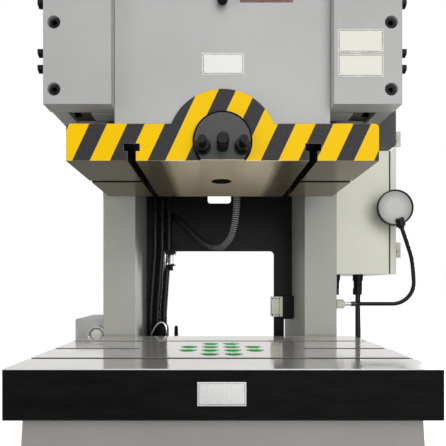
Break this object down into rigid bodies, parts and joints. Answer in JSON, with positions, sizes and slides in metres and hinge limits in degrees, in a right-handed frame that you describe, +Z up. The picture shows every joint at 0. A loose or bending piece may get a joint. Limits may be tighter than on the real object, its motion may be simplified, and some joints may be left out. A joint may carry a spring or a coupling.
{
  "type": "mechanical stamping press",
  "caption": "Gap-frame mechanical stamping press: crank-driven slide over a T-slotted table, with guides, flywheel drive, control cabinet and work light.",
  "frame": {"origin": "centre of the four anchor holes, on the floor", "axes": "+Z up, +X to the operator's right, -Y towards the operator; X = 0 is the slide's middle plane"},
  "size_m": [1.5116, 1.41, 2.95],
  "materials": {
    "grey_paint": "satin",
    "slide_steel": "satin paint above, hazard bands on the flange, ground below",
    "cabinet_paint": "satin",
    "black_paint": "satin",
    "dark_paint": "satin",
    "red_paint": "satin",
    "motor_paint": "satin",
    "machined_steel": "ground",
    "dark_steel": "black oxide",
    "bronze": "machined",
    "cast_iron": "as cast and turned",
    "aluminium": "turned",
    "black_rubber": "matte",
    "black_plastic": "satin",
    "pale_plastic": "satin",
    "green_plastic": "satin",
    "red_plastic": "gloss",
    "clear_bowl": "clear",
    "lamp_glass": "frosted"
  },
  "bodies": {
    "frame": {"side_frame_right": "grey_paint", "side_frame_left": "grey_paint", "bed_plates": "grey_paint", "rear_guard": "black_paint", "crown_plates": "grey_paint", "crown_front_plate": "grey_paint", "crank_bushes": "bronze", "angle_dial": "aluminium", "bolster": "machined_steel", "pin_hole_plugs": "green_plastic", "gib_plate_right": "grey_paint", "gib_plate_left": "grey_paint", "gib_liners": "bronze", "gib_plate_screws": "dark_steel", "gib_adjusters": "dark_steel", "balance_cylinders": "aluminium", "drive_belt": "black_rubber", "motor": "motor_paint", "motor_fan_cover": "motor_paint", "flywheel_guard": "grey_paint", "cabinet_box": "cabinet_paint", "control_devices": "pale_plastic", "cable_glands": "dark_steel", "junction_box": "cabinet_paint", "cabinet_cable": "black_rubber", "lamp_base": "pale_plastic", "lamp_gooseneck": "black_paint", "lamp_head": "black_plastic", "lamp_lens": "lamp_glass", "lube_cover": "dark_paint", "air_box": "grey_paint", "pressure_gauge": "aluminium", "limit_switch_body": "black_plastic", "limit_switch_cover": "pale_plastic", "air_manifolds": "dark_steel", "air_hoses": "black_rubber", "regulator": "black_plastic", "regulator_bowl": "clear_bowl", "slide_conduit": "black_rubber"},
    "slide": {"slide": "slide_steel", "conduit_boss": "dark_steel", "shank_clamp": "dark_steel", "clamp_screws": "dark_steel", "ball_cup": "bronze", "balance_rods": "machined_steel"},
    "crank": {"crankshaft": "machined_steel", "angle_pointer": "red_paint", "clutch": "cast_iron"},
    "conrod": {"conrod": "cast_iron", "conrod_cap": "cast_iron"},
    "flywheel": {"flywheel": "cast_iron"},
    "motor_pulley": {"motor_pulley": "cast_iron"},
    "cabinet_door": {"cabinet_door": "cabinet_paint", "door_seal": "black_rubber"},
    "latch_lower": {"latch_lower": "black_plastic"},
    "latch_upper": {"latch_upper": "black_plastic"},
    "main_switch": {"main_switch": "red_plastic"},
    "adjust_lever": {"adjust_lever": "black_plastic"},
    "valve_lever": {"valve_lever": "black_plastic"}
  },
  "joints": [
    {"name": "stroke", "type": "slide", "parent": "frame", "child": "slide", "axis": [0, 0, 1], "range_m": [-0.18, 0], "deforming": ["slide_conduit"]},
    {"name": "crank_turn", "type": "hinge", "parent": "frame", "child": "crank", "pos_m": [0, -0.285, 2.26], "axis": [0, 1, 0], "range_deg": [0, 180]},
    {"name": "conrod_swing", "type": "hinge", "parent": "crank", "child": "conrod", "pos_m": [0, -0.285, 2.35], "axis": [0, 1, 0], "range_deg": [-180, 0]},
    {"name": "flywheel_spin", "type": "hinge", "parent": "frame", "child": "flywheel", "pos_m": [0, 0.657, 2.26], "axis": [0, 1, 0], "continuous": true},
    {"name": "pulley_spin", "type": "hinge", "parent": "frame", "child": "motor_pulley", "pos_m": [0, 0.657, 2.74], "axis": [0, 1, 0], "continuous": true},
    {"name": "door_swing", "type": "hinge", "parent": "frame", "child": "cabinet_door", "pos_m": [0.7915, 0.594, 1.488], "axis": [0, 0, 1], "range_deg": [0, 110]},
    {"name": "latch_lower_turn", "type": "hinge", "parent": "cabinet_door", "child": "latch_lower", "pos_m": [0.81, 0.209, 1.23], "axis": [1, 0, 0], "range_deg": [0, 90]},
    {"name": "latch_upper_turn", "type": "hinge", "parent": "cabinet_door", "child": "latch_upper", "pos_m": [0.81, 0.209, 1.746], "axis": [1, 0, 0], "range_deg": [0, 90]},
    {"name": "main_switch_turn", "type": "hinge", "parent": "cabinet_door", "child": "main_switch", "pos_m": [0.81, 0.385, 1.488], "axis": [1, 0, 0], "range_deg": [0, 90]},
    {"name": "adjust_lever_turn", "type": "hinge", "parent": "slide", "child": "adjust_lever", "pos_m": [0, -0.5, 1.963], "axis": [0, 1, 0], "range_deg": [-75, 75]},
    {"name": "valve_lever_turn", "type": "hinge", "parent": "frame", "child": "valve_lever", "pos_m": [-0.2115, 0.315, 0.765], "axis": [0, 1, 0], "range_deg": [0, 90]}
  ],
  "couplings": [
    {"joint": "crank_turn", "follows": "stroke", "rad_per_m": -17.453},
    {"joint": "conrod_swing", "follows": "stroke", "rad_per_m": 17.453},
    {"joint": "pulley_spin", "follows": "flywheel_spin", "ratio": 5.0667}
  ]
}
